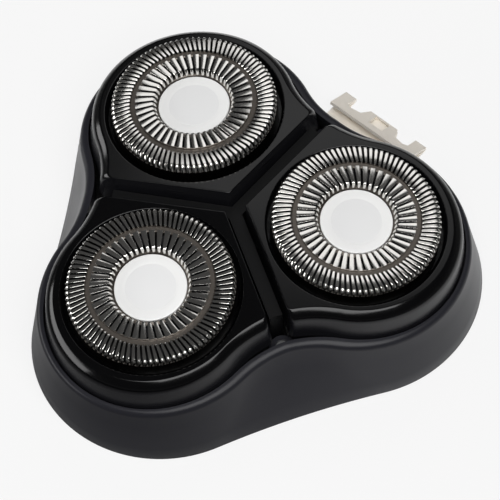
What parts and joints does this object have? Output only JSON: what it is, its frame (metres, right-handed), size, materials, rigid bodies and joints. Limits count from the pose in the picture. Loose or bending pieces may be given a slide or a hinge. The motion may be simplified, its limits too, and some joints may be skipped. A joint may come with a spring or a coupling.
{
  "type": "rotary shaving head unit",
  "caption": "Three-lobed rotary shaving head: slotted round foils float in tilting petals on a black skirt, with spinning cutters below and a stamped hinge bracket at the back.",
  "frame": {"origin": "centre of the skirt's rim plane, on the three-fold axis", "axes": "+Z from the handle towards the skin, +Y towards the hinge bracket, +X to its right seen from the front lobe"},
  "size_m": [0.0626, 0.0636, 0.0179],
  "materials": {
    "skirt_black": "satin matte black",
    "petal_black": "gloss black",
    "inner_black": "matte black moulding",
    "foil_steel": "polished slotted steel",
    "plate_aluminium": "fine brushed",
    "blade_steel": "ground steel",
    "pin_steel": "drawn steel",
    "bracket_steel": "warm matte stainless sheet",
    "hub_plastic": "dark grey acetal"
  },
  "bodies": {
    "housing": {"outer_shell": "skirt_black", "bridge_plate": "inner_black", "bridge_screws": "pin_steel", "hinge_pin": "pin_steel", "petal_springs_1": "pin_steel", "petal_springs_2": "pin_steel", "petal_springs_3": "pin_steel", "pivot_pin_1": "pin_steel", "pivot_pin_2": "pin_steel", "pivot_pin_3": "pin_steel"},
    "hinge_bracket": {"hinge_bracket": "bracket_steel"},
    "petal_1": {"petal_1": "petal_black"},
    "foil_1": {"foil_1": "foil_steel", "foil_plate_1": "plate_aluminium"},
    "cutter_1": {"cutter_blades_1": "blade_steel", "cutter_hub_1": "hub_plastic"},
    "retaining_ring_1": {"retaining_ring_1": "inner_black"},
    "petal_2": {"petal_2": "petal_black"},
    "foil_2": {"foil_2": "foil_steel", "foil_plate_2": "plate_aluminium"},
    "cutter_2": {"cutter_blades_2": "blade_steel", "cutter_hub_2": "hub_plastic"},
    "retaining_ring_2": {"retaining_ring_2": "inner_black"},
    "petal_3": {"petal_3": "petal_black"},
    "foil_3": {"foil_3": "foil_steel", "foil_plate_3": "plate_aluminium"},
    "cutter_3": {"cutter_blades_3": "blade_steel", "cutter_hub_3": "hub_plastic"},
    "retaining_ring_3": {"retaining_ring_3": "inner_black"}
  },
  "joints": [
    {"name": "bracket_flip", "type": "hinge", "parent": "housing", "child": "hinge_bracket", "pos_m": [0.001, 0.0212, 0.0012], "axis": [1, 0, 0], "range_deg": [-55, 35]},
    {"name": "petal_tilt_1", "type": "hinge", "parent": "housing", "child": "petal_1", "pos_m": [-0.00286, 0.00165, 0.01075], "axis": [-0.5, -0.866, 0], "range_deg": [0, 2.5], "stiffness_Nm_per_rad": 0.2, "springref_deg": -2.86, "deforming": ["petal_springs_1"]},
    {"name": "foil_float_1", "type": "slide", "parent": "petal_1", "child": "foil_1", "axis": [0.074, -0.0427, -0.9963], "range_m": [0, 0.0009], "stiffness_N_per_m": 500, "springref_m": -0.001},
    {"name": "cutter_spin_1", "type": "hinge", "parent": "foil_1", "child": "cutter_1", "pos_m": [-0.01394, 0.00805, 0.01206], "axis": [-0.074, 0.0427, 0.9963], "continuous": true},
    {"name": "ring_turn_1", "type": "hinge", "parent": "petal_1", "child": "retaining_ring_1", "pos_m": [-0.0139, 0.00802, 0.01147], "axis": [-0.074, 0.0427, 0.9963], "range_deg": [0, 25]},
    {"name": "petal_tilt_2", "type": "hinge", "parent": "housing", "child": "petal_2", "pos_m": [0.00286, 0.00165, 0.01075], "axis": [-0.5, 0.866, 0], "range_deg": [0, 2.5], "stiffness_Nm_per_rad": 0.2, "springref_deg": -2.86, "deforming": ["petal_springs_2"]},
    {"name": "foil_float_2", "type": "slide", "parent": "petal_2", "child": "foil_2", "axis": [-0.074, -0.0427, -0.9963], "range_m": [0, 0.0009], "stiffness_N_per_m": 500, "springref_m": -0.001},
    {"name": "cutter_spin_2", "type": "hinge", "parent": "foil_2", "child": "cutter_2", "pos_m": [0.01394, 0.00805, 0.01206], "axis": [0.074, 0.0427, 0.9963], "continuous": true},
    {"name": "ring_turn_2", "type": "hinge", "parent": "petal_2", "child": "retaining_ring_2", "pos_m": [0.0139, 0.00802, 0.01147], "axis": [0.074, 0.0427, 0.9963], "range_deg": [0, 25]},
    {"name": "petal_tilt_3", "type": "hinge", "parent": "housing", "child": "petal_3", "pos_m": [0, -0.0033, 0.01075], "axis": [1, 0, 0], "range_deg": [0, 2.5], "stiffness_Nm_per_rad": 0.2, "springref_deg": -2.86, "deforming": ["petal_springs_3"]},
    {"name": "foil_float_3", "type": "slide", "parent": "petal_3", "child": "foil_3", "axis": [0, 0.0854, -0.9963], "range_m": [0, 0.0009], "stiffness_N_per_m": 500, "springref_m": -0.001},
    {"name": "cutter_spin_3", "type": "hinge", "parent": "foil_3", "child": "cutter_3", "pos_m": [0, -0.0161, 0.01206], "axis": [0, -0.0854, 0.9963], "continuous": true},
    {"name": "ring_turn_3", "type": "hinge", "parent": "petal_3", "child": "retaining_ring_3", "pos_m": [0, -0.01605, 0.01147], "axis": [0, -0.0854, 0.9963], "range_deg": [0, 25]}
  ]
}
